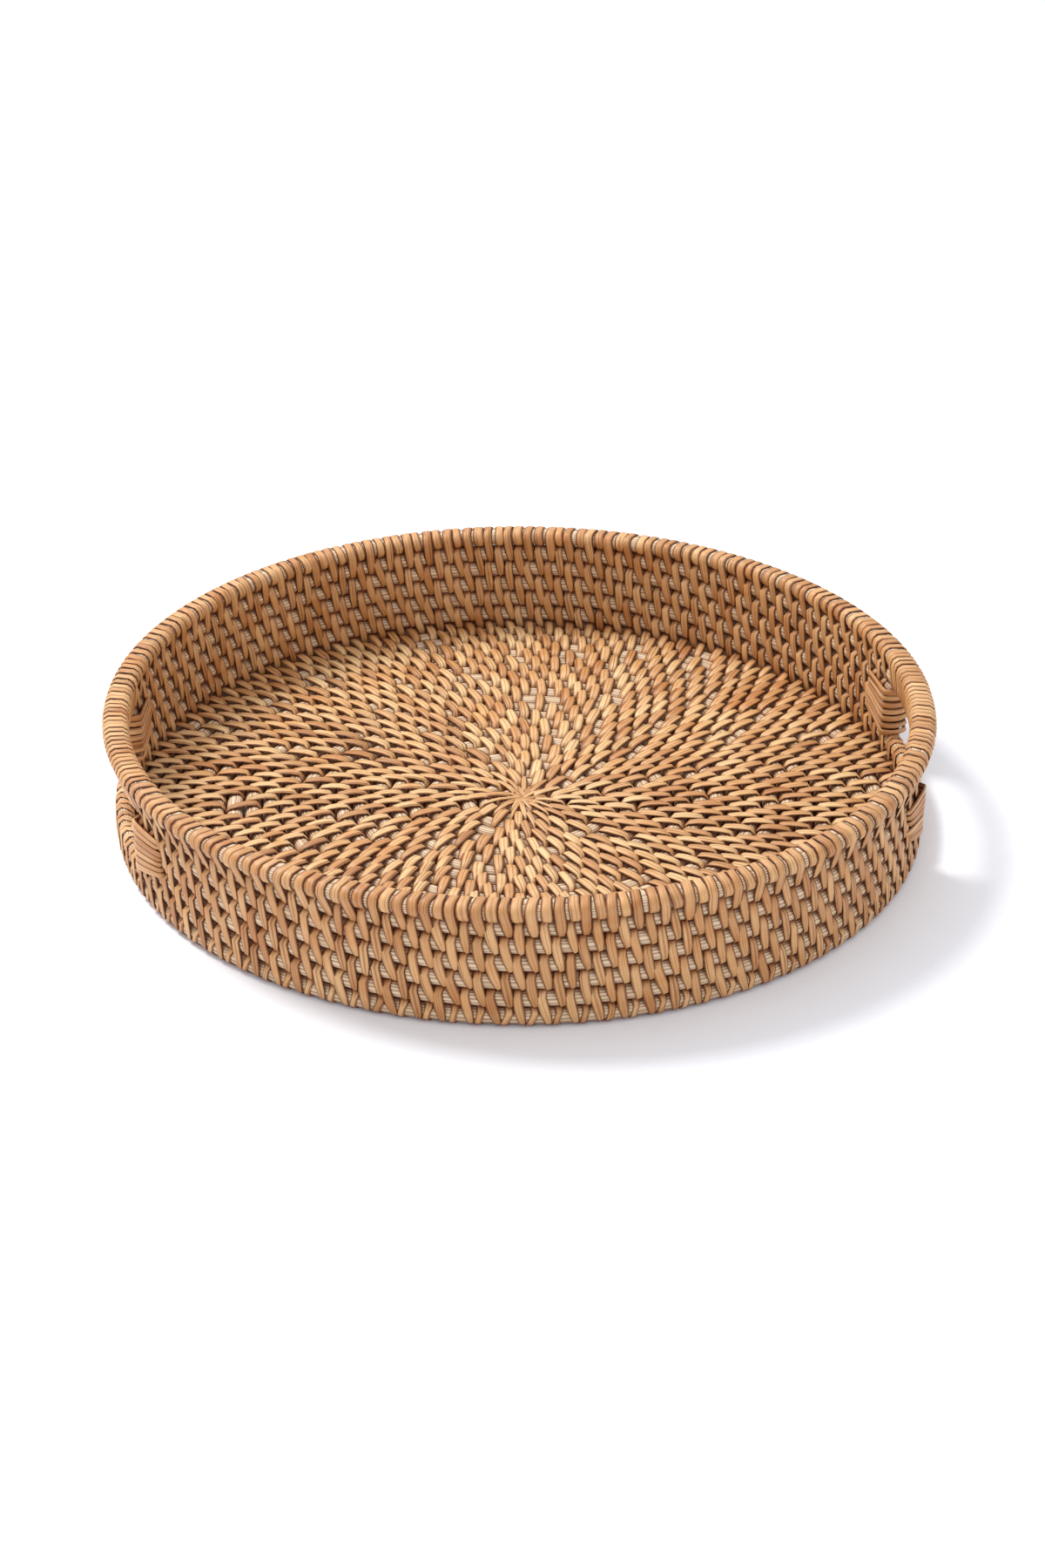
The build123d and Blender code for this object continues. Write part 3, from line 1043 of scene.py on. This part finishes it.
class TRAY_OT_set_stage(bpy.types.Operator):
    """Set a pale floor, soft lights and the camera"""
    bl_idname = "tray.set_stage"
    bl_label = "Set stage"

    def execute(self, context):
        half = 6.0
        corners = [(-half, -half, 0), (half, -half, 0), (half, half, 0), (-half, half, 0)]
        floor = mesh_object("studio_floor", corners, [(0, 1, 2, 3)], material=shared(
            studio_material, "studio_paper"))
        world = context.scene.world or bpy.data.worlds.new("Studio")
        context.scene.world = world
        world.use_nodes = True
        sky = world.node_tree.nodes["Background"]
        sky.inputs["Color"].default_value = (0.97, 0.98, 1.0, 1)
        sky.inputs["Strength"].default_value = 0.95
        self.softbox("window", (-0.9, 0.6, 1.6), size=0.7, power=31)
        self.softbox("front_fill", (0.3, -1.7, 1.3), size=1.6, power=3)
        self.camera(context)
        context.scene.view_settings.view_transform = "Standard"
        return {"FINISHED"}

    def softbox(self, name, place, size, power):
        lamp = bpy.data.lights.new(name, "AREA")
        lamp.shape = "DISK"
        lamp.size = size
        lamp.energy = power
        obj = bpy.data.objects.new(name, lamp)
        obj.location = place
        obj.rotation_euler = (-Vector(place)).to_track_quat("-Z", "Y").to_euler()
        bpy.context.scene.collection.objects.link(obj)

    def camera(self, context):
        distance, elevation = 1.3305, radians(29.49)
        data = bpy.data.cameras.new("studio_camera")
        data.lens = 65.24
        data.sensor_width = 36
        data.shift_x, data.shift_y = 0.002, 0.0140
        camera = bpy.data.objects.new("studio_camera", data)
        camera.location = (0, -distance * cos(elevation), distance * sin(elevation))
        camera.rotation_euler = (pi / 2 - elevation, 0, 0)
        context.scene.collection.objects.link(camera)
        context.scene.camera = camera


# ---------------------------------------------------------------- add-on
class TRAY_PT_panel(bpy.types.Panel):
    """Sizes, colours and building steps of the tray"""
    bl_label = "Rattan Tray"
    bl_space_type = "VIEW_3D"
    bl_region_type = "UI"
    bl_category = "Rattan Tray"

    def draw(self, context):
        for group in (context.scene.tray_sizes, context.scene.tray_colours):
            column = self.layout.column(align=True)
            for key in group.__annotations__:
                column.prop(group, key)
        for step in STEPS:
            self.layout.operator(step.bl_idname)


STEPS = (TRAY_OT_coil_base, TRAY_OT_raise_wall, TRAY_OT_lash_base, TRAY_OT_lash_wall,
         TRAY_OT_lash_rim, TRAY_OT_bind_slots, TRAY_OT_set_stage)
CLASSES = (TraySizes, TrayColours, *STEPS, TRAY_PT_panel)


def register():
    for cls in CLASSES:
        bpy.utils.register_class(cls)
    bpy.types.Scene.tray_sizes = PointerProperty(type=TraySizes)
    bpy.types.Scene.tray_colours = PointerProperty(type=TrayColours)


def unregister():
    del bpy.types.Scene.tray_colours
    del bpy.types.Scene.tray_sizes
    for cls in reversed(CLASSES):
        bpy.utils.unregister_class(cls)


def main():
    register()
    bpy.ops.tray.coil_base()
    bpy.ops.tray.raise_wall()
    bpy.ops.tray.lash_base()
    bpy.ops.tray.lash_wall()
    bpy.ops.tray.lash_rim()
    bpy.ops.tray.bind_slots()
    bpy.ops.tray.set_stage()


if __name__ == "__main__":
    main()
